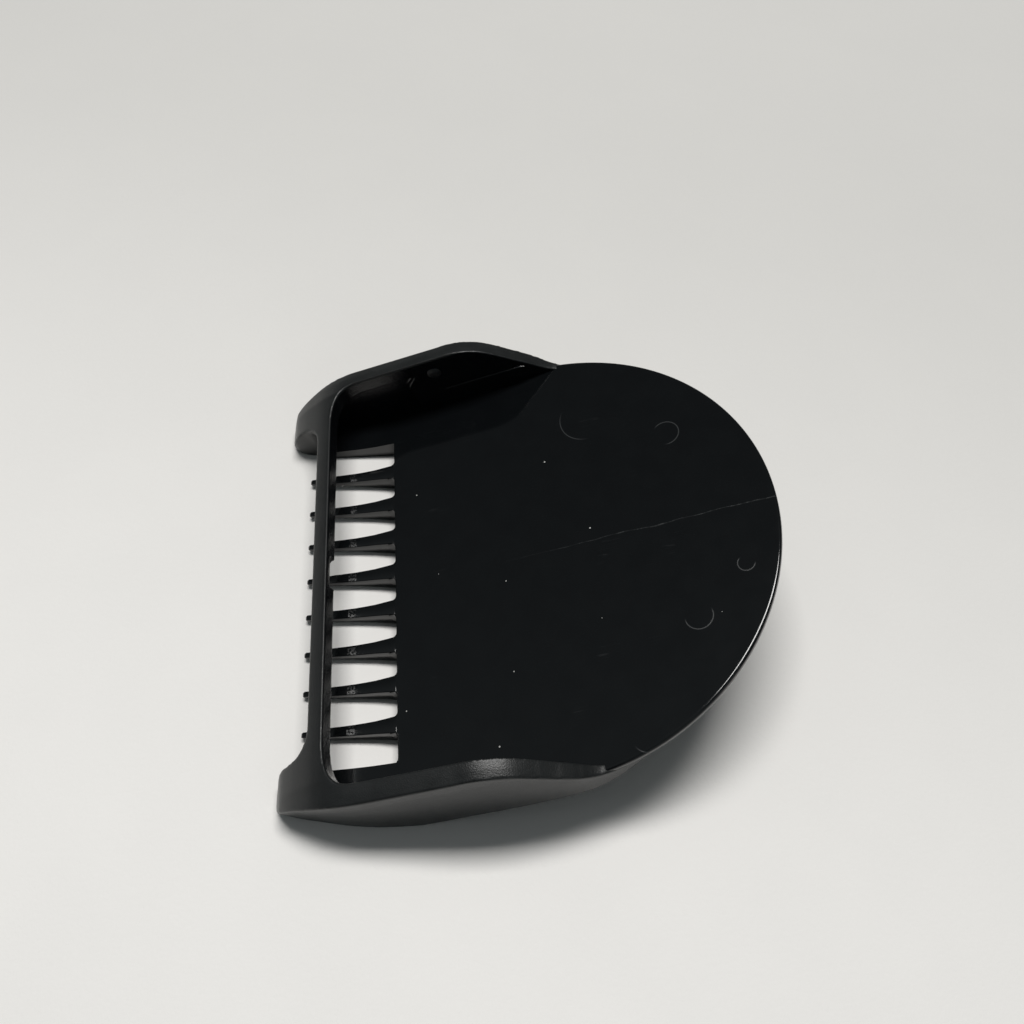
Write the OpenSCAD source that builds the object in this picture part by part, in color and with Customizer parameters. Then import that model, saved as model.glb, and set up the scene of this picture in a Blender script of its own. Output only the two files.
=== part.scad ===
// Attachment comb of a hair clipper: a D-shaped deck, two side walls, a front bridge bar,
// two noses and eight comb teeth. Everything is drawn in the deck's own frame (deck top is
// z = 0, +X runs from the teeth to the round rear, the disc centre is x = 0) and is then
// tipped into the pose in which the comb rests on its teeth.

/* [Deck] */
// Radius of the round rear of the deck
deck_r = 23.3; // [22.5:0.1:24]
// Thickness of the deck plate
deck_t = 1.4; // [1:0.1:1.8]
// Distance from the disc centre to the rear end of the slots
slot_back = 15.8; // [15:0.1:17]
// Depth of the skirt below the deck top
skirt_depth = 3; // [2.6:0.1:3.4]
// Thickness of the skirt under the round edge
skirt_t = 1.1; // [0.8:0.1:1.4]
// How far the skirt stands inside the edge of the deck
skirt_inset = 0.5; // [0.2:0.05:0.5]

/* [Side walls] */
// Half of the overall width, to the outer face of a side wall
half_width = 24.2; // [23.9:0.1:24.6]
// Thickness of a side wall
wall_t = 1.9; // [1.6:0.1:2.2]
// Height of the rim above the deck
rim_h = 7.25; // [6.8:0.05:7.6]
// Depth of the pocket under the lip of a side wall
pocket_depth = 0.6; // [0.4:0.05:0.8]
// Height of the lip and of the front bar
bar_h = 2; // [1.6:0.1:2.4]

/* [Front] */
// Distance from the disc centre to the inner face of the front bar
bar_back = 20; // [19.8:0.1:20.4]
// Width of the front bar along the comb
bar_w = 1.8; // [1.2:0.05:1.8]
// Distance from the disc centre to the tip of a nose
nose_reach = 27.2; // [26.8:0.1:27.6]
// Half of the gap between the two noses
nose_gap_half = 18.8; // [18.6:0.1:19.2]
// Length of the gate notch in the lower edge of the front bar
gate_w = 3.2; // [2.4:0.1:4]

/* [Teeth] */
// Number of comb teeth
teeth = 8; // [8]
// Spacing of the teeth
pitch = 4.2; // [4.1:0.05:4.3]
// Width of a tooth where it leaves the deck
tooth_root_w = 1.7; // [1.5:0.05:1.8]
// Width of a tooth below the front bar
tooth_tip_w = 0.95; // [0.9:0.05:1.1]
// Depth of a tooth below the deck top at the rear end of the slots
tooth_depth = 2.5; // [2.3:0.1:2.7]
// Distance from the disc centre to the centre of the ball at a tooth's tip
tip_reach = 24.8; // [24.6:0.1:25]
// Radius of the ball at a tooth's tip
tip_r = 0.3; // [0.25:0.05:0.4]
// Height of the centre of that ball above the deck top
tip_z = 1.69; // [1.6:0.01:1.8]
// Distance from the disc centre to the heel of the ribs under the deck
heel_reach = 1; // [0:0.5:3]

/* [Pose] */
// Angle between the deck and the surface that the comb rests on
tilt = 21.3; // [21:0.1:22]

/* [Hidden] */
$fn = 96;

plastic = [0.06, 0.06, 0.065];
satin = [0.13, 0.13, 0.135];

// Height of the resting plane below the deck top at any x of the deck's frame.
function floor_z(x) = -tooth_depth - (x + slot_back) * tan(tilt);
// Centre line of tooth n, counted from the left side wall.
function tooth_y(n) = ((teeth + 1) / 2 - n) * pitch;

wall_in = half_width - wall_t;
lip_z = rim_h - bar_h;
bar_front = -bar_back - bar_w;
web_in = tooth_y(1) + pitch - tooth_root_w / 2 + 0.45; // the outermost slots are wider
nose_back = -22.9;          // the noses are hollow from the bar to here, and the webs run in
slope_end = 4.6;            // where the side walls run out into the deck's edge
drop_start = -5.8;          // where the rim begins to fall towards the deck
lip_back = -12;             // rear end of the pocket and its lip
foot_rise = 0.25;           // upright height of a nose's front edge
deck_start = slope_end + 0.2; // where the deck's round edge comes out from between the walls
bar_root_z = 1.3;           // height of a tooth's top below the front bar
beyond = 30;                // cutting solids reach well past the comb
disc_fn = 160;              // facets of the large arcs
lift = tooth_depth * cos(tilt) + slot_back * sin(tilt);
nose_x = -nose_reach * cos(tilt) - (foot_rise + floor_z(-nose_reach)) * sin(tilt);
rear_x = (deck_r - skirt_inset) * cos(tilt) + skirt_depth * sin(tilt);
centre_x = (nose_x + rear_x) / 2;

// Side view of the rolled front of a nose, as x and z from its foot up to the rim.
nose_roll = [[-26.65, 3], [-26, 4], [-25.3, 4.9], [-24, 5.55], [-22.5, 6.25], [-21, 6.78],
    [-19.5, 7.12]];
// Plan view of the fillet between the bar and a nose, from the bar's front and the nose's side.
bar_fillet = [[0, -2.4], [-0.15, -1.9], [-0.5, -1.3], [-1.15, -0.7], [-1.75, -0.3], [-2.4, 0]];
// Plan view of the rounded inner corner of the rim, from the bar's back and the wall's face.
rim_fillet = [[0, -4.7], [0.1, -3.3], [0.35, -2.1], [0.7, -1.3], [1.1, -0.7], [1.7, -0.3],
    [2.7, -0.05], [4, 0]];

// Tips a shape from the deck's frame into the resting pose, centred on the origin.
module posed() {
    translate([-centre_x, 0, lift]) rotate([0, -tilt, 0]) children();
}

// Extrudes a side profile, drawn as x and z, across the width from y1 to y2.
module across(y1, y2) {
    translate([0, y2, 0]) rotate([90, 0, 0]) linear_extrude(y2 - y1) children();
}

module mirrored(side) {
    if (side > 0) children();
    else mirror([0, 1, 0]) children();
}

// Points of an arc from angle a1 to a2, for the rounded stretches of a profile.
function arc(cx, cz, r, a1, a2, n = 8) =
    [for (i = [0:n]) [cx + r * cos(a1 + (a2 - a1) * i / n), cz + r * sin(a1 + (a2 - a1) * i / n)]];

// Side view of a wall and its nose: rim, falling rear edge, skirt line and resting bevel.
module side_profile() {
    rim_front = -18;
    crest_r = 3.4;
    foot_r = 3;
    foot_x = slope_end + 1.9;
    nose_z = floor_z(-nose_reach);
    polygon(concat(
        [[-nose_reach, nose_z], [-nose_reach, nose_z + foot_rise]], nose_roll,
        [[rim_front, rim_h], [drop_start, rim_h]],
        arc(drop_start, rim_h - crest_r, crest_r, 90, 47),
        arc(foot_x, foot_r - 0.55, foot_r, 225, 262),
        [[slope_end + 1, -skirt_depth], [floor_x(-skirt_depth), -skirt_depth]]));
}

// Where the resting plane crosses a given height of the deck's frame.
function floor_x(z) = -(z + tooth_depth) / tan(tilt) - slot_back;

// Half of the plan outline, from the rear of a wall round to the nose.
module plan_half() {
    polygon([
        [slope_end + 1.2, 0], [slope_end + 1.2, half_width - 1.5], [1.5, half_width - 0.4],
        [-2, half_width - 0.2], [-6, half_width - 0.05], [-12, half_width], [-17, half_width],
        [-19.5, half_width - 0.2], [-21.5, half_width - 0.5], [-23.5, half_width - 0.9],
        [-25.2, half_width - 1.25], [-26.3, half_width - 1.65], [-27, half_width - 2.2],
        [-nose_reach, half_width - 2.8], [-nose_reach, 0]]);
}

// Stands a plan outline up as a prism that is taller than the comb.
module tall(bottom = -10) {
    translate([0, 0, bottom]) linear_extrude(beyond) children();
}

// Everything ahead of the inner face of the front bar.
module ahead_of_rim() {
    translate([-bar_back - beyond, -beyond, -beyond / 2]) cube([beyond, 2 * beyond, beyond]);
}

module deck() {
    front_w = 2 * wall_in;
    edge = 0.25;
    color(plastic) posed() intersection() {
        union() {
            translate([0, 0, -deck_t]) cylinder(h = deck_t - edge, r = deck_r, $fn = disc_fn);
            translate([0, 0, -edge]) cylinder(h = edge, r1 = deck_r, r2 = deck_r - edge, $fn = disc_fn);
            translate([-slot_back, -front_w / 2, -deck_t]) cube([slot_back, front_w, deck_t]);
        }
        translate([-slot_back, -deck_r - 1, -deck_t]) cube([2 * deck_r, 2 * deck_r + 2, deck_t]);
        deck_clearance();
    }
}

// The space between the side walls, and behind them the whole disc.
module deck_clearance() {
    tall() translate([-slot_back - 1, -wall_in]) square([slot_back + slope_end + 2, 2 * wall_in]);
    tall() translate([deck_start, -beyond]) square([beyond, 2 * beyond]);
}

module deck_skirt() {
    outer = deck_r - skirt_inset;
    color(plastic) posed() difference() {
        translate([0, 0, -skirt_depth]) cylinder(h = skirt_depth - deck_t, r = outer, $fn = disc_fn);
        translate([0, 0, -skirt_depth - 1])
            cylinder(h = skirt_depth, r = outer - skirt_t, $fn = disc_fn);
        tall() translate([slope_end + 1 - 2 * beyond, -beyond]) square(2 * beyond);
    }
}

// A side wall behind the front bar, with the pocket under its lip and the rim's inner corner.
module wall(side) {
    chamfer = 1.2;
    color(satin) posed() mirrored(side) intersection() {
        difference() {
            union() {
                across(wall_in, half_width + 1) side_profile();
                intersection() {
                    across(wall_in - 6, wall_in + 0.5) side_profile();
                    tall(lip_z) polygon(concat(
                        [for (p = rim_fillet) [p.x - bar_back, p.y + wall_in]],
                        [[4 - bar_back, wall_in + 0.5], [-bar_back, wall_in + 0.5]]));
                }
            }
            across(wall_in - 1, wall_in + pocket_depth) polygon([
                [-bar_back - 1, 0], [-bar_back - 1, lip_z], [lip_back + chamfer, lip_z],
                [lip_back, lip_z - chamfer], [lip_back, 0]]);
            ahead_of_rim();
        }
        tall() plan_half();
    }
}

// A nose: the front end of a side wall, standing ahead of the bar and filleted into it.
module nose(side) {
    color(satin) posed() mirrored(side) intersection() {
        across(nose_gap_half - 5, half_width + 1) side_profile();
        tall() plan_half();
        ahead_of_rim();
        union() {
            difference() {
                tall() nose_plan();
                translate([nose_back, 0, -beyond + lip_z]) cube([beyond, wall_in, beyond]);
            }
            tall(lip_z) polygon(concat(
                [for (p = bar_fillet) [p.x + bar_front, p.y + nose_gap_half]],
                [[-nose_reach + 2, nose_gap_half + 2], [bar_front, nose_gap_half + 2]]));
        }
    }
}

// Plan outline of a nose below the level of the bar.
module nose_plan() {
    inner = nose_gap_half;
    polygon([
        [-bar_back, inner], [-nose_reach + 1.8, inner], [-nose_reach + 0.9, inner + 0.45],
        [-nose_reach + 0.45, inner + 0.9], [-nose_reach + 0.15, inner + 1.4],
        [-nose_reach, inner + 2], [-nose_reach, half_width + 1], [-bar_back, half_width + 1]]);
}

module front_bar() {
    gate_depth = 0.45;
    color(satin) posed() difference() {
        across(-nose_gap_half, nose_gap_half) polygon([
            [-bar_back, lip_z], [-bar_back, rim_h - 0.25], [-bar_back - 0.2, rim_h - 0.1],
            [bar_front + 0.5, rim_h - 0.45], [bar_front, rim_h - 0.7], [bar_front, lip_z]]);
        translate([-bar_back - gate_depth, -gate_w / 2, lip_z - 1]) cube([2, gate_w, 2]);
    }
}

// Side view of a tooth above the resting plane: root, rising top and the tip.
module tooth_top_profile() {
    polygon([
        [-slot_back, floor_z(-slot_back)], [-slot_back, 0], [-17.8, 0.25], [-20, 0.68],
        [-22.2, bar_root_z], [-tip_reach, tip_z + tip_r * 0.9], [-tip_reach, tip_z - tip_r * 0.9],
        [-23.4, floor_z(-23.4)]]);
}

// A corner web closes the gap between the outermost slot and the side wall and nose.
module web(side) {
    color(plastic) posed() mirrored(side) difference() {
        across(web_in, wall_in) tooth_top_profile();
        translate([nose_back - beyond, 0, -beyond / 2]) cube([beyond, beyond, beyond]);
    }
}

// Plan outline of a tooth: widest at its root, narrow from the bar to the tip.
module tooth_plan() {
    root = tooth_root_w / 2;
    tip = tooth_tip_w / 2;
    half = [
        [-slot_back, root], [-18, root - 0.2], [-bar_back, tip + 0.08], [-22, tip],
        [-tip_reach, tip_r]];
    polygon(concat(half, [for (i = [len(half) - 1:-1:0]) [half[i].x, -half[i].y]]));
}

// Side view of the rib that carries a tooth's resting edge back under the deck.
module rib_profile() {
    heel = -heel_reach;
    sole = floor_z(heel - 3);
    polygon([
        [-slot_back, -deck_t], [-slot_back, floor_z(-slot_back)], [heel - 3, sole],
        [heel - 0.6, sole - 0.15], [heel + 1.6, sole + 1.4], [heel + 3.4, -3.9],
        [heel + 5.6, -deck_t]]);
}

module tooth(n) {
    rib_t = 1.3;
    color(plastic) posed() translate([0, tooth_y(n), 0]) union() {
        intersection() {
            across(-2, 2) tooth_top_profile();
            tall() tooth_plan();
        }
        translate([-tip_reach, 0, tip_z]) sphere(r = tip_r, $fn = 32);
        across(-rib_t / 2, rib_t / 2) rib_profile();
    }
}

// A small bump on the inner face of a side wall, which the clipper head clicks over.
module snap(side) {
    bump = 0.4;
    snap_x = -8.5;
    snap_z = 5;
    color(satin) posed() mirrored(side) translate([snap_x, wall_in - bump, snap_z])
        rotate([-90, 0, 0]) cylinder(h = bump, r = 0.8, $fn = 32);
}

// A low guide rail along the foot of a side wall.
module rail(side) {
    rail_w = 0.35;
    rail_z = 2.05;
    rail_h = 0.3;
    color(satin) posed() mirrored(side) across(wall_in - rail_w, wall_in) polygon([
        [-8.4, rail_z], [-8, rail_z + rail_h], [0.2, rail_z + rail_h], [0.6, rail_z]]);
}

deck();
deck_skirt();
wall(1);  // wall_left
wall(-1);  // wall_right
nose(1);  // nose_left
nose(-1);  // nose_right
front_bar();
web(1);  // web_left
web(-1);  // web_right
snap(1);  // snap_left
snap(-1);  // snap_right
rail(1);  // rail_left
rail(-1);  // rail_right
for (n = [1:teeth]) tooth(n);
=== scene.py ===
import math

import bmesh
import bpy
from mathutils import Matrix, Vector


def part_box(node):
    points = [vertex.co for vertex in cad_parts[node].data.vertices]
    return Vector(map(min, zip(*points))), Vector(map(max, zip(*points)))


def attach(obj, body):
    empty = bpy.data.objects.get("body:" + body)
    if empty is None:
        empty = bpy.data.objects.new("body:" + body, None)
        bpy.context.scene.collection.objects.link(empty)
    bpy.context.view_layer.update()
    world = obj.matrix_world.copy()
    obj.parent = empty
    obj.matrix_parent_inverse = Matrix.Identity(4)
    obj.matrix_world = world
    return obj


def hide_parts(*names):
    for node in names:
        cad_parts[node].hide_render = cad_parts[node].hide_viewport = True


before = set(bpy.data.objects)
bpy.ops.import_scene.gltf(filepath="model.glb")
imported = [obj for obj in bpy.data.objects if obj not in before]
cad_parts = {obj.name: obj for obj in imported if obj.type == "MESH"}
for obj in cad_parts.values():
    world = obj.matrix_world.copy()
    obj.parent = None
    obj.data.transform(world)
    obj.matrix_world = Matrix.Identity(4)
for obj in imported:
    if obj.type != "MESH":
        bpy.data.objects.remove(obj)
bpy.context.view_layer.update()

# ---- Camera: looks down on the comb from the side of its right wall, a little ahead of it.
# The comb is drawn in millimetres in the deck's own frame: deck top at zero, +X from the
# teeth to the round rear, disc centre at x = 0. The CAD deck says where that frame stands.
tilt = math.radians(21.3)
deck_radius = 23.3
deck_thick = 1.4
slot_back = 15.8  # from the disc centre forward to the rear end of the slots
deck_low, deck_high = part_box("deck")
ahead = deck_high.x * 1000 - deck_radius * math.cos(tilt) - deck_thick * math.sin(tilt)
rise = deck_low.z * 1000 + slot_back * math.sin(tilt) + deck_thick * math.cos(tilt)
camera_data = bpy.data.cameras.new("camera")
camera_data.lens = 37.26
camera_data.sensor_width = 36.0
camera_data.clip_start = 0.005
camera = bpy.data.objects.new("camera", camera_data)
bpy.context.scene.collection.objects.link(camera)
camera.location = ((ahead - 8.522) / 1000, -0.052828, (rise + 90.254) / 1000)
camera.rotation_euler = [math.radians(a) for a in (32.746, -1.23, -4.031)]
bpy.context.scene.camera = camera

# ---- Deck: the flat plate that the clipper head slides on. Gloss black plastic, moulded in
# one with the rest; its round rear has a fine chamfer above and is undercut below, and its
# front edge closes the nine slots.


def edit(mode="EDIT"):
    """Enters or leaves edit mode on the active piece."""
    bpy.ops.object.mode_set(mode=mode)


def pick(where, kind="VERT"):
    """Selects the vertices, edges or faces that lie where where() says, in edit mode."""
    bpy.ops.mesh.select_mode(type=kind)
    bpy.ops.mesh.select_all(action="DESELECT")
    mesh = bmesh.from_edit_mesh(bpy.context.object.data)
    if kind == "VERT":
        for vertex in mesh.verts:
            vertex.select = where(vertex.co)
    elif kind == "EDGE":
        for edge in mesh.edges:
            edge.select = where(edge.verts[0].co) and where(edge.verts[1].co)
    else:
        for face in mesh.faces:
            face.select = where(face.calc_center_median())
    mesh.select_flush_mode()
    bmesh.update_edit_mesh(bpy.context.object.data)


def move(x=0.0, y=0.0, z=0.0):
    """Moves what is selected."""
    bpy.ops.transform.translate(value=(x, y, z))


def draw(name, points):
    """Draws an outline point by point and fills it with one face; stays in edit mode."""
    bpy.ops.object.select_all(action="DESELECT")
    bpy.ops.mesh.primitive_plane_add(size=1)
    bpy.context.object.name = name
    edit()
    bpy.ops.mesh.select_all(action="SELECT")
    bpy.ops.mesh.merge(type="CENTER")
    bpy.ops.mesh.select_mode(type="VERT")
    bpy.ops.mesh.select_all(action="SELECT")
    move(*points[0])
    for start, end in zip(points, points[1:]):
        step = Vector(end) - Vector(start)
        bpy.ops.mesh.extrude_vertices_move(TRANSFORM_OT_translate={"value": step})
    bpy.ops.mesh.select_all(action="SELECT")
    bpy.ops.mesh.edge_face_add()
    return bpy.context.object


def pull(x=0.0, y=0.0, z=0.0):
    """Extrudes the selected faces."""
    bpy.ops.mesh.extrude_region_move(TRANSFORM_OT_translate={"value": (x, y, z)})


def outward():
    """Turns every face of the piece in edit mode outwards."""
    bpy.ops.mesh.select_all(action="SELECT")
    bpy.ops.mesh.normals_make_consistent(inside=False)


def apply(piece, kind, **settings):
    """Adds a modifier with these settings and applies it."""
    modifier = piece.modifiers.new(kind.lower(), kind)
    for key, value in settings.items():
        setattr(modifier, key, value)
    bpy.context.view_layer.objects.active = piece
    bpy.ops.object.modifier_apply(modifier=modifier.name)


def set_down(piece, angle=35):
    """Shades a finished piece and tips it, in its mesh, into the resting pose in metres."""
    bpy.ops.object.select_all(action="DESELECT")
    piece.select_set(True)
    bpy.context.view_layer.objects.active = piece
    bpy.ops.object.shade_smooth_by_angle(angle=math.radians(angle))
    edit()
    bpy.ops.mesh.select_all(action="SELECT")
    bpy.ops.transform.rotate(value=tilt, orient_axis="Y", center_override=(0, 0, 0))
    move(ahead, 0, rise)
    bpy.ops.transform.resize(value=(0.001, 0.001, 0.001), center_override=(0, 0, 0))
    edit("OBJECT")


def fit(piece, slot, material, *nodes):
    """Gives a piece its finish, hangs it from the root and hides the CAD nodes that it stands for.
    """
    piece.data.materials.clear()
    piece.data.materials.append(material)
    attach(piece, "root")
    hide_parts(*nodes)


def node(tree, kind, inputs=(), **settings):
    """Adds a shader node; inputs are values or sockets, by name or number."""
    made = tree.nodes.new(kind)
    for key, value in settings.items():
        setattr(made, key, value)
    for key, value in dict(inputs).items():
        if isinstance(value, bpy.types.NodeSocket):
            tree.links.new(value, made.inputs[key])
        else:
            made.inputs[key].default_value = value
    return made


def sums(tree, operation, a, b=0.0):
    """A Math node's result."""
    return node(tree, "ShaderNodeMath", {0: a, 1: b}, operation=operation).outputs[0]


def ramp(tree, value, low, high, at_low=0.0, at_high=1.0):
    """Runs from at_low to at_high as value goes from low to high."""
    made = node(
        tree,
        "ShaderNodeMapRange",
        {"Value": value, "From Min": low, "From Max": high, "To Min": at_low, "To Max": at_high},
        interpolation_type="SMOOTHSTEP",
    )
    return made.outputs["Result"]


def noise(tree, place, scale, detail=2.0, roughness=0.5):
    """Cloudy values between 0 and 1."""
    made = node(
        tree,
        "ShaderNodeTexNoise",
        {"Vector": place, "Scale": scale, "Detail": detail, "Roughness": roughness},
    )
    return made.outputs["Fac"]


def product(tree, a, b):
    """Two values multiplied."""
    return sums(tree, "MULTIPLY", a, b)


def gap(tree, a, b):
    """How far apart two values are."""
    return sums(tree, "ABSOLUTE", sums(tree, "SUBTRACT", a, b))


def stretched(tree, place, scale, turn=0.0):
    """The same place, turned about the deck's upright and stretched for streaks."""
    made = node(
        tree, "ShaderNodeMapping", {"Vector": place, "Scale": scale, "Rotation": (0, 0, turn)}
    )
    return made.outputs[0]


def tinted(tree, mask, under, over):
    """Lays the colour over on the colour under where mask is 1."""
    made = node(tree, "ShaderNodeMix", {"Factor": mask}, data_type="RGBA")
    for socket, value in ((made.inputs[6], under), (made.inputs[7], over)):
        if isinstance(value, bpy.types.NodeSocket):
            tree.links.new(value, socket)
        else:
            socket.default_value = (*value, 1)
    return made.outputs[2]


def start_plastic(name):
    """A new material, its nodes, its shader, and the place on the comb in the deck's frame."""
    material = bpy.data.materials.new(name)
    material.use_nodes = True
    tree = material.node_tree
    tree.nodes.clear()
    output = node(tree, "ShaderNodeOutputMaterial")
    shader = node(tree, "ShaderNodeBsdfPrincipled", {"IOR": 1.5, "Specular IOR Level": 0.5})
    tree.links.new(shader.outputs[0], output.inputs["Surface"])
    coords = node(tree, "ShaderNodeTexCoord")
    place = node(
        tree,
        "ShaderNodeMapping",
        {
            "Vector": coords.outputs["Object"],
            "Location": (ahead / 1000, 0, rise / 1000),
            "Rotation": (0, -tilt, 0),
            "Scale": (0.001, 0.001, 0.001),
        },
        vector_type="TEXTURE",
    )
    return material, tree, shader, place.outputs[0]


def ring(tree, place, centre, radius, open_at, open_share):
    """A mask for a crescent: a thin ring that has worn away on the side of open_at."""
    line_width = 0.09
    fade = 0.5
    apart = node(tree, "ShaderNodeVectorMath", {0: place, 1: (*centre, 0)}, operation="SUBTRACT")
    split = node(tree, "ShaderNodeSeparateXYZ", {0: apart.outputs[0]})
    x, y = split.outputs[0], split.outputs[1]
    far = sums(tree, "SQRT", sums(tree, "ADD", product(tree, x, x), product(tree, y, y)))
    band = ramp(tree, gap(tree, far, radius), 0, line_width, 1, 0)
    along = sums(tree, "ADD", product(tree, x, open_at[0]), product(tree, y, open_at[1]))
    worn = ramp(tree, along, open_share * radius, (open_share + fade) * radius, 1, 0)
    return product(tree, band, worn)


def hairlines(tree, place, turn, scale, keep, seed):
    """A mask for fine scratches that run one way and come in patches."""
    lines = noise(tree, stretched(tree, place, scale, turn), 1.0, 1, 0.4)
    patches = noise(tree, stretched(tree, place, (1, 1, seed)), 0.22, 2)
    thin = ramp(tree, gap(tree, lines, 0.5), 0, 0.012, 1, 0)
    return product(tree, thin, ramp(tree, patches, keep, keep + 0.1, 0, 0.3))


def flow_line(tree, place, x, y):
    """A mask for the weld line that wanders from the middle of the deck to its rear."""
    wander = noise(tree, stretched(tree, place, (0.2, 1, 1)), 1.0, 2)
    drift = product(tree, sums(tree, "SUBTRACT", wander, 0.5), 0.9)
    strength = ramp(tree, noise(tree, place, 0.7, 4, 0.7), 0.42, 0.62)
    line = ramp(tree, gap(tree, y, drift), 0.0, 0.08, 1, 0)
    line = product(tree, line, ramp(tree, x, -5, 6, 0, 1))
    return product(tree, line, sums(tree, "ADD", product(tree, strength, 0.7), 0.3))


def rough_highlight_band(tree, place, x, y, z):
    """A mask for the rougher band that crosses the top of every tooth beside the bar; its lighter
    colour is a painted highlight where the tooth's top bends.
    """
    lit_band = product(tree, ramp(tree, x, -20.8, -20.7), ramp(tree, x, -20.0, -19.9, 1, 0))
    on_tooth = ramp(tree, sums(tree, "ABSOLUTE", y), 17.0, 17.2, 1, 0)
    lit_band = product(tree, lit_band, on_tooth)
    lit_band = product(tree, lit_band, ramp(tree, z, 0.3, 0.5))
    return product(tree, lit_band, ramp(tree, noise(tree, place, 5.0, 3), 0.4, 0.6, 0.15, 1))


gloss_dark = (0.0034, 0.0040, 0.0046)
gloss_pale = (0.0040, 0.0047, 0.0053)
scratch_grey = (0.12, 0.125, 0.13)
dust_grey = (0.55, 0.55, 0.53)
# The next grey is a painted highlight for the band across the teeth's tops beside the bar.
highlight_band_grey = (0.007, 0.0078, 0.0082)
# Centre, radius, worn side and worn share of each crescent: three ejector pins, two scratches.
crescents = [
    ((14.2, 10.2), 1.35, (-0.94, -0.34), 0.1),
    ((14.2, -10.4), 1.3, (-0.2, 0.98), -0.2),
    ((19.3, -6.2), 0.8, (0.5, 0.87), 0.0),
    ((6.35, 14.95), 2.85, (0.86, 0.5), -0.95),
    ((8.0, -20.6), 1.4, (0.1, 1.0), -0.95),
]


def gloss_black(name, marks):
    """Gloss black plastic with hairline scratches, dust, a painted highlight across the teeth's
    tops beside the bar and, on the deck, moulding marks.
    """
    material, tree, shader, place = start_plastic(name)
    clouds = noise(tree, place, 0.35, 3)
    grain = noise(tree, place, 9.0, 3, 0.6)
    x, y, z = node(tree, "ShaderNodeSeparateXYZ", {0: place}).outputs
    marking = sums(
        tree,
        "MAXIMUM",
        hairlines(tree, place, 0.25, (0.05, 2.6, 1), 0.62, 1.3),
        hairlines(tree, place, 1.1, (0.07, 2.2, 1), 0.66, 2.1),
    )
    cells = node(tree, "ShaderNodeTexVoronoi", {"Vector": place, "Scale": 0.55, "Randomness": 1.0})
    luck = node(tree, "ShaderNodeSeparateColor", {0: cells.outputs["Color"]})
    size = ramp(tree, luck.outputs[1], 0.0, 1.0, 0.015, 0.06)
    speck = sums(tree, "LESS_THAN", cells.outputs["Distance"], size)
    dust = product(tree, speck, sums(tree, "GREATER_THAN", luck.outputs[0], 0.74))
    if marks:
        marking = sums(tree, "MAXIMUM", marking, flow_line(tree, place, x, y))
        for crescent in crescents:
            marking = sums(tree, "MAXIMUM", marking, ring(tree, place, *crescent))
    highlight_band = rough_highlight_band(tree, place, x, y, z)
    shade = tinted(tree, ramp(tree, clouds, 0.3, 0.7), gloss_dark, gloss_pale)
    # Painted highlight: the band across the teeth's tops beside the bar is lighter in colour, where
    # their tops bend and catch the light.
    shade = tinted(tree, highlight_band, shade, highlight_band_grey)
    shade = tinted(tree, product(tree, marking, 0.22), shade, scratch_grey)
    shade = tinted(tree, product(tree, dust, 0.8), shade, dust_grey)
    tree.links.new(shade, shader.inputs["Base Color"])
    rough = ramp(tree, clouds, 0.25, 0.75, 0.075, 0.1)
    rough = sums(tree, "ADD", rough, product(tree, marking, 0.25))
    rough = sums(tree, "MAXIMUM", rough, product(tree, dust, 0.8))
    rough = sums(tree, "MAXIMUM", rough, product(tree, highlight_band, 0.32))
    tree.links.new(rough, shader.inputs["Roughness"])
    height = sums(tree, "ADD", product(tree, grain, 0.012), product(tree, marking, -0.05))
    bump = node(tree, "ShaderNodeBump", {"Height": height, "Strength": 0.35, "Distance": 0.0002})
    tree.links.new(bump.outputs[0], shader.inputs["Normal"])
    return material


def arc(centre_x, centre_y, radius, start, end, steps):
    """Points on an arc in plan, from the start to the end angle in degrees."""
    points = []
    for i in range(steps + 1):
        a = math.radians(start + (end - start) * i / steps)
        points.append((centre_x + radius * math.cos(a), centre_y + radius * math.sin(a), 0))
    return points


deck_side = 23.05
slot_pitch = 4.2
slot_half = 1.25
slot_corner = 0.42
web_in = 18.5  # outer end of the two outermost slots
end_slot = 4
tongue_end = -slot_back - 0.8  # the plate runs a little way on under the teeth's roots
upright_edge = 0.55
undercut = 0.978
disc_start = 3.3  # the straight sides end here and the round edge begins
turn_in = math.degrees(math.asin(deck_side / deck_radius))
outline = [(tongue_end, -deck_side, 0)]
outline += arc(0, 0, deck_radius, -turn_in, turn_in, 120)
outline += [(tongue_end, deck_side, 0)]
corner_x = -slot_back - slot_corner
for n in range(end_slot, -end_slot - 1, -1):
    left_end = web_in if n == end_slot else n * slot_pitch + slot_half
    right_end = -web_in if n == -end_slot else n * slot_pitch - slot_half
    outline += [(tongue_end, left_end, 0)]
    if n == end_slot:
        outline += [(-slot_back, left_end, 0)]
    else:
        outline += arc(corner_x, left_end - slot_corner, slot_corner, 90, 0, 6)
    outline += arc(corner_x, right_end + slot_corner, slot_corner, 0, -90, 6)
    outline += [(tongue_end, right_end, 0)]
deck = draw("deck_plate", outline)
pull(z=-upright_edge)
pull(z=upright_edge - deck_thick)


def on_disc(at):
    """Whether a place is on the deck's round edge."""
    return at.x > disc_start and math.hypot(at.x, at.y) > deck_radius - 0.01


pick(lambda at: at.z < 0.01 - deck_thick and on_disc(at))
bpy.ops.transform.resize(value=(undercut, undercut, 1), center_override=(0, 0, 0))
outward()
pick(lambda at: at.z > -0.01 and on_disc(at), "EDGE")
bpy.ops.mesh.bevel(offset=0.24, segments=3, profile=0.5)
pick(lambda at: at.z > -0.01 and at.x < -slot_back + 0.01, "EDGE")
bpy.ops.mesh.bevel(offset=0.08, segments=2, profile=0.5)
for level in (0.0, -deck_thick):
    pick(lambda at: abs(at.z - level) < 0.001, "FACE")
    bpy.ops.mesh.inset(thickness=0.1)
edit("OBJECT")
set_down(deck)
fit(deck, "gloss_black", gloss_black("gloss black deck", True), "deck")

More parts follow.
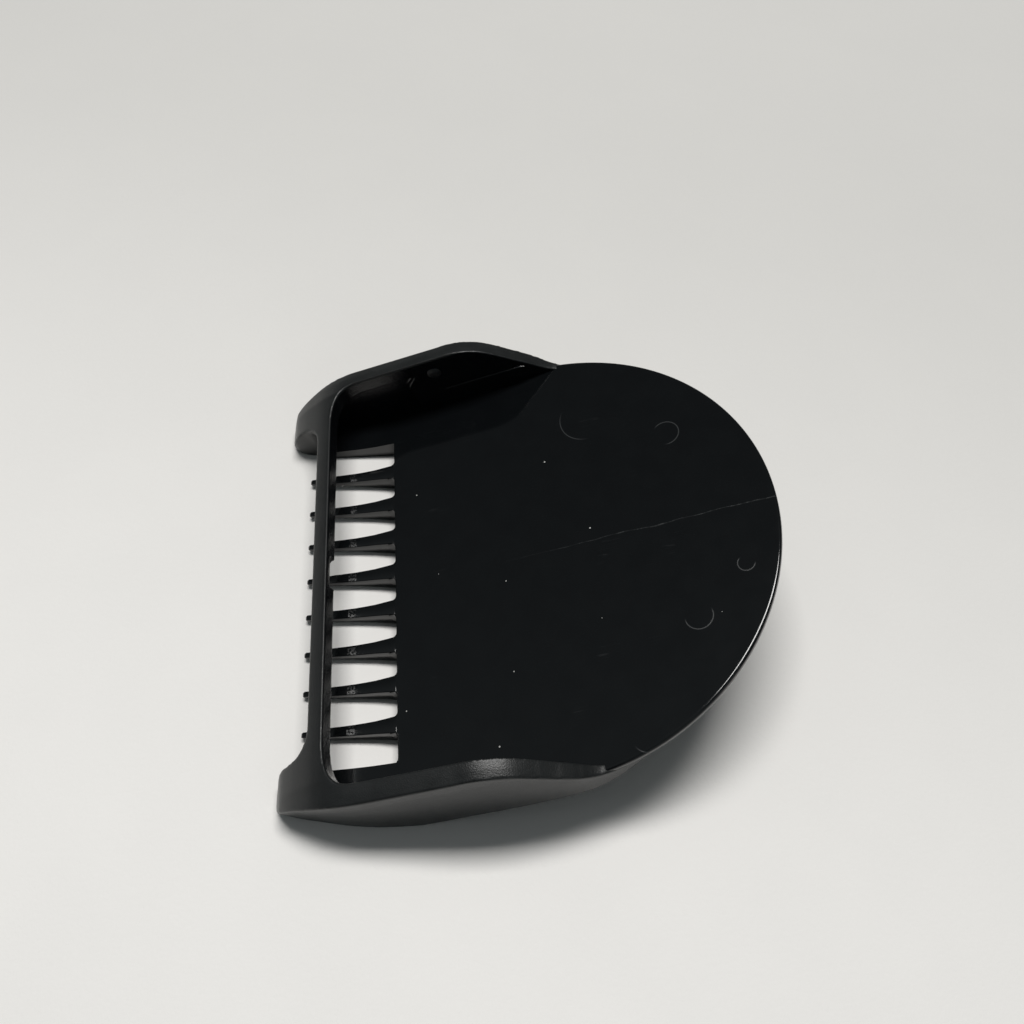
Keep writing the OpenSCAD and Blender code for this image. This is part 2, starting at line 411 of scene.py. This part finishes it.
# ---- Skirt: the stiffening band under the deck's round rear edge, set in a little from it.
# Satin black plastic, moulded with the deck and running from one side wall to the other.
skirt_outer = 22.3
skirt_inner = 21.2
skirt_reach = 76.5  # half of the band's sweep, in degrees
skirt_top = -1.3
skirt_bottom = -3.0
skirt_chamfer = 0.2


satin_dark = (0.0070, 0.0080, 0.0084)
satin_pale = (0.0095, 0.0108, 0.0112)
rubbed_grey = (0.026, 0.028, 0.029)
# The next colour is painted shade for the tray's inner faces.
inner_shade_dark = (0.0032, 0.0036, 0.0045)


def tray_mask(tree, x, y, z):
    """A mask for the tray's inner faces: they lie within the rim and below its top."""
    lip = (5.15, 5.25)
    front_limit = ramp(tree, z, *lip, -22.95, -20.04)
    in_pocket = product(tree, sums(tree, "LESS_THAN", x, -10.5), ramp(tree, z, *lip, 0.62, 0))
    side_limit = sums(tree, "ADD", in_pocket, 22.36)
    behind_bar = sums(tree, "GREATER_THAN", x, front_limit)
    between_walls = sums(tree, "LESS_THAN", sums(tree, "ABSOLUTE", y), side_limit)
    inside = product(tree, behind_bar, between_walls)
    return product(tree, inside, ramp(tree, z, 6.75, 6.95, 1, 0))


def satin_black(name, sparkle, polish_and_shade):
    """Satin black plastic with a fine grain; on the tray's inner faces it is smoother and painted
    darker as shade, both scaled by the last argument.
    """
    material, tree, shader, place = start_plastic(name)
    clouds = noise(tree, place, 0.5, 3)
    fine = noise(tree, place, 11.0, 2, 0.7)
    pits = node(tree, "ShaderNodeTexVoronoi", {"Vector": place, "Scale": 7.0})
    rub = noise(tree, stretched(tree, place, (0.12, 2.0, 2.0)), 1.0, 3, 0.6)
    x, y, z = node(tree, "ShaderNodeSeparateXYZ", {0: place}).outputs
    inside = tray_mask(tree, x, y, z)
    shade = tinted(tree, ramp(tree, clouds, 0.3, 0.7), satin_dark, satin_pale)
    shade = tinted(tree, ramp(tree, rub, 0.62, 0.8, 0, 0.3), shade, rubbed_grey)
    # Painted shade: the tray's inner faces are darkened in colour, for the shade and dark
    # reflections inside the tray.
    shade = tinted(tree, product(tree, inside, polish_and_shade), shade, inner_shade_dark)
    tree.links.new(shade, shader.inputs["Base Color"])
    rough = ramp(tree, clouds, 0.2, 0.8, 0.34, 0.4)
    uneven = product(tree, sums(tree, "SUBTRACT", fine, 0.5), 0.25)
    rough = sums(tree, "ADD", rough, uneven)
    rough = sums(tree, "SUBTRACT", rough, product(tree, inside, 0.2 * polish_and_shade))
    tree.links.new(rough, shader.inputs["Roughness"])
    height = sums(tree, "ADD", product(tree, fine, 0.6), product(tree, pits.outputs[0], 0.4))
    bump = node(
        tree, "ShaderNodeBump", {"Height": height, "Strength": sparkle, "Distance": 0.00008}
    )
    tree.links.new(bump.outputs[0], shader.inputs["Normal"])
    return material


band_satin = satin_black("satin black band", 0.15, 0.0)
skirt = draw(
    "skirt_band",
    [
        (skirt_outer, 0, skirt_top),
        (skirt_outer, 0, -2.85),
        (skirt_outer - skirt_chamfer, 0, skirt_bottom),
        (skirt_inner + skirt_chamfer, 0, skirt_bottom),
        (skirt_inner, 0, -2.85),
        (skirt_inner, 0, skirt_top),
    ],
)
bpy.ops.transform.rotate(
    value=math.radians(skirt_reach), orient_axis="Z", center_override=(0, 0, 0)
)
bpy.ops.mesh.spin(
    steps=100, angle=math.radians(-2 * skirt_reach), center=(0, 0, 0), axis=(0, 0, 1)
)
bpy.ops.mesh.select_all(action="SELECT")
bpy.ops.mesh.remove_doubles(threshold=0.0005)
outward()
edit("OBJECT")
set_down(skirt)
fit(skirt, "satin_black", band_satin, "deck_skirt")

# ---- Side walls, noses and front bar: one continuous rim round the tray. Satin black
# plastic; the rim's top runs over the bar and rolls down over the noses without a break.
# It is drawn whole, so that its fillets run through, and is then parted into five pieces.
wall_in = 22.3
wall_out = 24.2
bar_back = -20.0
bar_front = -21.8
nose_back = -22.9
nose_front = -27.2
tail_end = 7.6
wall_foot = -2.96
lip_z = 5.25
rim_top = 7.25
floor_slope = math.tan(tilt)


def sole(x):
    """Height of the table below the deck top, in the deck's frame."""
    return -2.5 - (x + slot_back) * floor_slope


def eased(points, steps=4):
    """A smooth line through these points, with more points on it."""
    ends = [points[0], *points, points[-1]]
    line = []
    for a, b, c, d in zip(ends, ends[1:], ends[2:], ends[3:]):
        for i in range(steps):
            t = i / steps
            line.append(
                tuple(
                    0.5
                    * (
                        2 * q
                        + (r - p) * t
                        + (2 * p - 5 * q + 4 * r - s) * t * t
                        + (3 * q - p - 3 * r + s) * t ** 3
                    )
                    for p, q, r, s in zip(a, b, c, d)
                )
            )
    return line + [points[-1]]


def carve(piece, other, operation):
    """Cuts one solid with another, or keeps what they share; the other is used up."""
    apply(piece, "BOOLEAN", object=other, operation=operation, solver="EXACT")
    bpy.data.objects.remove(other)


def plan(name, points, low, high):
    """A plan outline stood up as a solid."""
    solid = draw(name, [(x, y, low) for x, y in points])
    pull(z=high - low)
    outward()
    edit("OBJECT")
    return solid


def side_view():
    """The left wall and nose seen from the side, as a solid whose top falls off outwards."""
    top = [(nose_front, sole(nose_front)), (nose_front - 0.02, sole(nose_front) + 0.25)]
    top += eased(
        [(-26.65, 3.0), (-26.0, 4.0), (-25.25, 4.85), (-24.0, 5.6), (-22.5, 6.27), (-21.0, 6.8)]
        + [(-19.5, 7.12), (-18.0, rim_top), (-16.0, rim_top)],
        4,
    )
    top += eased(
        [(-7.5, rim_top), (-6.0, rim_top), (-4.5, 6.95), (-3.0, 6.3), (-1.5, 5.1), (0.0, 3.6)]
        + [(1.5, 2.15), (3.0, 0.62), (4.5, -0.35), (6.0, -0.75), (tail_end, -0.85)],
        4,
    )
    top += [(tail_end, wall_foot), (-14.62, wall_foot)]
    solid = draw("side_view", [(x, -1.0, z) for x, z in top])
    pull(y=22.6)
    for drop in (-0.055, -0.09):
        pull(y=1.6)
        reach = max(v.co.y for v in bmesh.from_edit_mesh(solid.data).verts)
        for level in (0.2, 1.5, 3.0, 4.5):
            pick(lambda at: at.y > reach - 0.01 and at.z > max(level, sole(at.x) + 1.5))
            move(z=drop)
        pick(lambda at: at.y > reach - 0.01, "FACE")
    outward()
    edit("OBJECT")
    return solid


outer_side = eased(
    [(tail_end, 21.4), (6.6, 21.9), (5.6, 22.42), (4.5, 22.95), (3.0, 23.45), (1.5, 23.8)]
    + [(-2.0, 24.05), (-6.0, 24.15)]
    + [(-12.0, wall_out), (-17.0, wall_out), (-19.5, 24.02), (-21.5, 23.7), (-23.5, 23.25)]
    + [(-25.2, 22.85), (-26.3, 22.4), (-27.0, 21.85), (nose_front, 21.3)]
)
nose_side = [(nose_front, 20.7), (-27.03, 20.1), (-26.7, 19.6), (-26.2, 19.2), (-25.5, 18.98)]
nose_side += [(-24.3, 18.85), (-23.6, 18.7)]
bar_fillet = [(-23.1, 18.5), (-22.6, 18.1), (-22.15, 17.5), (-21.9, 16.9), (bar_front, 16.2)]
rim_fillet = [(bar_back, 17.4), (-19.9, 19.0), (-19.65, 20.2), (-19.3, 21.0), (-18.8, 21.6)]
rim_fillet += [(-18.2, 22.0), (-17.3, 22.22), (-16.2, wall_in)]
upper = outer_side + eased(nose_side + bar_fillet, 3) + [(bar_front, 0.0), (bar_back, 0.0)]
upper += eased(rim_fillet, 3) + [(4.2, wall_in), (tail_end, 20.6)]
lower = outer_side + eased(nose_side, 3)
lower += [(nose_back, 18.7), (nose_back, wall_in), (4.2, wall_in), (tail_end, 20.6)]

rim = plan("rim", upper, lip_z, 12.0)
carve(rim, side_view(), "INTERSECT")
# A shallow notch in the bar's inner side, where the plastic came into the mould.
gate = plan("gate", [(-20.45, -1), (-19, -1), (-19, 1.6), (-20.45, 1.6)], 4.0, 6.2)
carve(rim, gate, "DIFFERENCE")
# Below the lip the nose is hollow from behind, and the wall's foot leans in by foot_draft.
foot_draft = 0.35
low_wall = plan("low_wall", lower, -12.0, lip_z + 0.4)
carve(low_wall, side_view(), "INTERSECT")
bpy.context.view_layer.objects.active = low_wall
edit()
pick(
    lambda at: at.z < max(sole(at.x), wall_foot) + 0.05
    and (at.y > 22.4 - 0.6 * max(0.0, at.x - 5.0) or (at.x < -25 and at.y > 21.0))
)
move(y=-foot_draft)
edit("OBJECT")
# The pocket under the lip, in the wall's inner face ahead of the snap.
pocket = draw(
    "pocket",
    [(-22.3, 21, -0.5), (-22.3, 21, lip_z), (-10.8, 21, lip_z), (-12, 21, lip_z - 1.2)]
    + [(-12, 21, -0.5)],
)
pull(y=1.9)
outward()
edit("OBJECT")
carve(low_wall, pocket, "DIFFERENCE")
bpy.ops.object.select_all(action="DESELECT")
low_wall.select_set(True)
rim.select_set(True)
bpy.context.view_layer.objects.active = rim
bpy.ops.object.join()
apply(rim, "MIRROR", use_axis=(False, True, False), use_mirror_merge=False)
apply(rim, "REMESH", mode="VOXEL", voxel_size=0.12)
apply(rim, "SMOOTH", factor=0.5, iterations=9)

# On the rim, the tray's inner faces are smoother, and their colour is darkened as painted shade.
satin = satin_black("satin black rim", 0.3, 1.0)
wall_end = -14.6
bar_end = 13.6


def part(name, cuts, *nodes):
    """A copy of the rim, cut off at each plane and closed there."""
    bpy.ops.object.select_all(action="DESELECT")
    rim.select_set(True)
    bpy.context.view_layer.objects.active = rim
    bpy.ops.object.duplicate()
    piece = bpy.context.object
    piece.name = name
    edit()
    for place, away in cuts:
        bpy.ops.mesh.select_all(action="SELECT")
        bpy.ops.mesh.bisect(plane_co=place, plane_no=away, use_fill=True, clear_outer=True)
    edit("OBJECT")
    set_down(piece, 50)
    fit(piece, "satin_black", satin, *nodes)


for side, hand in ((1, "left"), (-1, "right")):
    part(
        "side_wall_" + hand,
        (((0, 0, 0), (0, -side, 0)), ((wall_end, 0, 0), (-1, 0, 0))),
        "wall_" + hand,
    )
    part(
        "nose_shell_" + hand,
        (((0, side * bar_end, 0), (0, -side, 0)), ((wall_end, 0, 0), (1, 0, 0))),
        "nose_" + hand,
    )
part("bridge_bar", (((0, bar_end, 0), (0, 1, 0)), ((0, -bar_end, 0), (0, -1, 0))), "front_bar")
bpy.data.objects.remove(rim)

# ---- Webs: the plates that close the gap between the outermost slots and the side walls.
# Gloss black plastic, rising towards the bar in line with the tops of the teeth.
gloss = gloss_black("gloss black teeth", False)
web_rear = -15.3
web_width = 4.45
web_lap = 0.03  # how far the web stands into the slot's end, so that no line shows there
web_top = [(web_rear, 0.0), (-15.85, 0.0), (-17.0, 0.14), (-18.0, 0.28), (-19.0, 0.46)]
web_top += [(-20.0, 0.68), (-21.1, 0.98), (nose_back, 1.45)]
for side, hand in ((1, "left"), (-1, "right")):
    face = side * (web_in - web_lap)
    web = draw(
        "corner_web_" + hand,
        [(x, face, z) for x, z in web_top]
        + [(nose_back, face, sole(nose_back)), (web_rear, face, sole(web_rear))],
    )
    pull(y=side * web_width)
    outward()
    edit("OBJECT")
    set_down(web)
    fit(web, "gloss_black", gloss, "web_" + hand)

# ---- Teeth: eight comb teeth, each moulded in one with the rib that carries it back under
# the deck. Gloss black plastic; they narrow towards the bar and end in a rounded tip.
ball_x = -24.8
ball_z = 1.69
tooth_count = 8
# Place along the comb, top, bottom and half width of each station, from the rib's rear end on.
tooth_stations = [
    (4.6, -1.2, -1.42, 0.45),
    (2.4, -1.2, -3.9, 0.62),
    (0.6, -1.2, -5.7, 0.65),
    (-1.6, -1.2, -7.1, 0.65),
    (-4.0, -1.2, sole(-4.0), 0.65),
    (-10.0, -1.2, sole(-10.0), 0.65),
    (-15.2, -1.2, sole(-15.2), 0.7),
    (-15.85, 0.0, sole(-15.85), 0.85),
    (-17.0, 0.14, sole(-17.0), 0.75),
    (-18.0, 0.28, sole(-18.0) + 0.1, 0.65),
    (-19.0, 0.46, sole(-19.0) + 0.22, 0.6),
    (-20.0, 0.68, sole(-20.0) + 0.36, 0.55),
    (-21.1, 0.98, sole(-21.1) + 0.45, 0.51),
    (-22.2, 1.3, sole(-22.2) + 0.5, 0.475),
    (-23.4, 1.6, sole(-23.4) + 0.5, 0.38),
    (-24.2, ball_z + 0.14, ball_z - 0.5, 0.29),
    (ball_x + 0.2, ball_z + 0.27, ball_z - 0.3, 0.28),
    (ball_x, ball_z + 0.3, ball_z - 0.3, 0.29),
    (ball_x - 0.2, ball_z + 0.23, ball_z - 0.22, 0.22),
    (ball_x - 0.29, ball_z + 0.1, ball_z - 0.1, 0.1),
]
x, high, low, half = tooth_stations[0]
tooth = draw("tooth", [(x, -half, low), (x, half, low), (x, half, high), (x, -half, high)])
for x, high, low, half in tooth_stations[1:]:
    was = bmesh.from_edit_mesh(tooth.data)
    end = [v.co.copy() for v in was.verts if v.select]
    was_x = end[0].x
    was_low, was_high = min(v.z for v in end), max(v.z for v in end)
    was_half = max(v.y for v in end)
    pull(x=x - was_x)
    middle = (was_low + was_high) / 2
    bpy.ops.transform.resize(
        value=(1, half / was_half, (high - low) / (was_high - was_low)),
        center_override=(x, 0, middle),
    )
    move(z=(low + high) / 2 - middle)
outward()
edit("OBJECT")
apply(tooth, "BEVEL", width=0.09, segments=3, limit_method="ANGLE", angle_limit=math.radians(50))
for n in range(tooth_count):
    bpy.ops.object.select_all(action="DESELECT")
    tooth.select_set(True)
    bpy.context.view_layer.objects.active = tooth
    bpy.ops.object.duplicate()
    made = bpy.context.object
    made.name = f"comb_tooth_{n + 1}"
    edit()
    bpy.ops.mesh.select_all(action="SELECT")
    move(y=((tooth_count - 1) / 2 - n) * slot_pitch)
    edit("OBJECT")
    set_down(made, 40)
    fit(made, "gloss_black", gloss, f"tooth_{n + 1}")
bpy.data.objects.remove(tooth)

# ---- Snaps: a small uneven bump on the inner face of each side wall, which the clipper head
# clicks over. Satin black plastic with a coarse grain, moulded in one with the wall.
rough_satin = satin_black("satin black rough", 0.9, 0.0)
snap_radius = 0.85
snap_place = (-8.55, wall_in + 0.06, 5.0)
snap_steps = ((0.12, 0.14), (0.15, 0.12), (0.16, 0.06), (0.16, 0.0))
for side, hand in ((1, "left"), (-1, "right")):
    bpy.ops.object.select_all(action="DESELECT")
    bpy.ops.mesh.primitive_circle_add(vertices=24, radius=snap_radius, fill_type="NGON")
    snap = bpy.context.object
    snap.name = "snap_bump_" + hand
    edit()
    bpy.ops.mesh.select_all(action="SELECT")
    for inset, lift in snap_steps:
        bpy.ops.mesh.inset(thickness=inset)
        move(z=lift)
    pick(lambda at: at.z > 0.05)
    bpy.ops.transform.vertex_random(offset=0.05, uniform=0.6, seed=4)
    bpy.ops.mesh.select_all(action="SELECT")
    bpy.ops.transform.resize(value=(1, 0.95, 1), center_override=(0, 0, 0))
    bpy.ops.transform.rotate(
        value=math.radians(-90), orient_axis="X", center_override=(0, 0, 0)
    )
    move(*snap_place)
    bpy.ops.transform.resize(value=(1, side, 1), center_override=(0, 0, 0))
    outward()
    edit("OBJECT")
    apply(snap, "SUBSURF", levels=1, render_levels=1)
    set_down(snap, 60)
    fit(snap, "satin_black", rough_satin, "snap_" + hand)

# ---- Rails: a low ridge along the foot of each side wall that guides the clipper head.
# Satin black plastic, moulded with the wall, running out to nothing at both ends.
rail_depth = 0.28
ridge = [(0.9, 2.14), (0.2, 2.05), (-8.0, 2.05), (-8.7, 2.14), (-8.0, 2.32), (0.2, 2.32)]
for side, hand in ((1, "left"), (-1, "right")):
    rail = draw("guide_rail_" + hand, [(x, side * (wall_in + 0.05), z) for x, z in ridge])
    pull(y=-side * rail_depth)
    bpy.ops.transform.resize(value=(0.985, 1, 0.6), center_override=(-3.9, 0, 2.17))
    outward()
    edit("OBJECT")
    apply(rail, "BEVEL", width=0.08, segments=2, limit_method="ANGLE", angle_limit=math.radians(40))
    set_down(rail, 40)
    fit(rail, "satin_black", satin, "rail_" + hand)

# ---- Floor: a pale paper-covered table that the comb rests on; its colour darkens towards the rear and the right as painted shade.
bpy.ops.object.select_all(action="DESELECT")
bpy.ops.mesh.primitive_grid_add(x_subdivisions=8, y_subdivisions=8, size=1.2)
floor = bpy.context.object
floor.name = "table"
paper = bpy.data.materials.new("pale paper")
paper.use_nodes = True
tree = paper.node_tree
shader = tree.nodes["Principled BSDF"]
coords = node(tree, "ShaderNodeTexCoord").outputs["Object"]
patch = noise(tree, coords, 60.0, 4, 0.6)
fibre = noise(tree, coords, 1400.0, 3, 0.7)
split = node(tree, "ShaderNodeSeparateXYZ", {0: coords})
across = sums(tree, "ADD", split.outputs[1], product(tree, split.outputs[0], 0.35))
# Painted shade: the paper's colour falls from pale to grey towards the rear and the right, for the
# light that fades across the table.
shade = tinted(tree, ramp(tree, across, -0.05, 0.085), (0.93, 0.915, 0.895), (0.70, 0.69, 0.67))
shade = tinted(tree, ramp(tree, patch, 0.3, 0.7, 0, 0.04), shade, (0.5, 0.5, 0.5))
tree.links.new(shade, shader.inputs["Base Color"])
shader.inputs["Roughness"].default_value = 0.75
shader.inputs["Specular IOR Level"].default_value = 0.2
bump = node(tree, "ShaderNodeBump", {"Height": fibre, "Strength": 0.12, "Distance": 0.0003})
tree.links.new(bump.outputs[0], shader.inputs["Normal"])
floor.data.materials.append(paper)

# ---- Light: one large soft lamp above, a little beyond the left wall. The room is palest
# overhead, fades towards the left and the rear, and is dark on the right but for one window.
world = bpy.data.worlds.new("room")
bpy.context.scene.world = world
world.use_nodes = True
tree = world.node_tree
sky = tree.nodes["Background"]
coords = node(tree, "ShaderNodeTexCoord").outputs["Generated"]
x, y, z = node(tree, "ShaderNodeSeparateXYZ", {0: coords}).outputs
dark_front = ramp(tree, y, -0.5, -0.05, 0.025, 0.185)
dim_back = ramp(tree, y, 0.15, 0.65, 1, 0.38)
dim_rear = ramp(tree, x, 0.3, 0.85, 1, 0.4)
glow = product(tree, product(tree, dark_front, dim_back), dim_rear)
window = ramp(tree, x, -0.15, 0.0, 0, 0.6)
for low, high, at_low in ((0.3, 0.38, 0), (0.6, 0.7, 1)):
    window = product(tree, window, ramp(tree, z, low, high, at_low, 1 - at_low))
window = product(tree, window, ramp(tree, y, -0.55, -0.45, 1, 0))
tree.links.new(sums(tree, "ADD", glow, window), sky.inputs[1])
sky.inputs[0].default_value = (0.9, 0.98, 1.0, 1)

lamp_data = bpy.data.lights.new("ceiling", "AREA")
lamp_data.shape = "RECTANGLE"
lamp_data.size = 0.38
lamp_data.size_y = 0.12
lamp_data.energy = 3.2
lamp_data.color = (1.0, 0.99, 0.97)
lamp = bpy.data.objects.new("ceiling", lamp_data)
bpy.context.scene.collection.objects.link(lamp)
lamp.location = (0.0, 0.13, 0.6)
lamp.rotation_euler = (-lamp.location).to_track_quat("-Z", "Y").to_euler()

bpy.context.scene.view_settings.view_transform = "Standard"
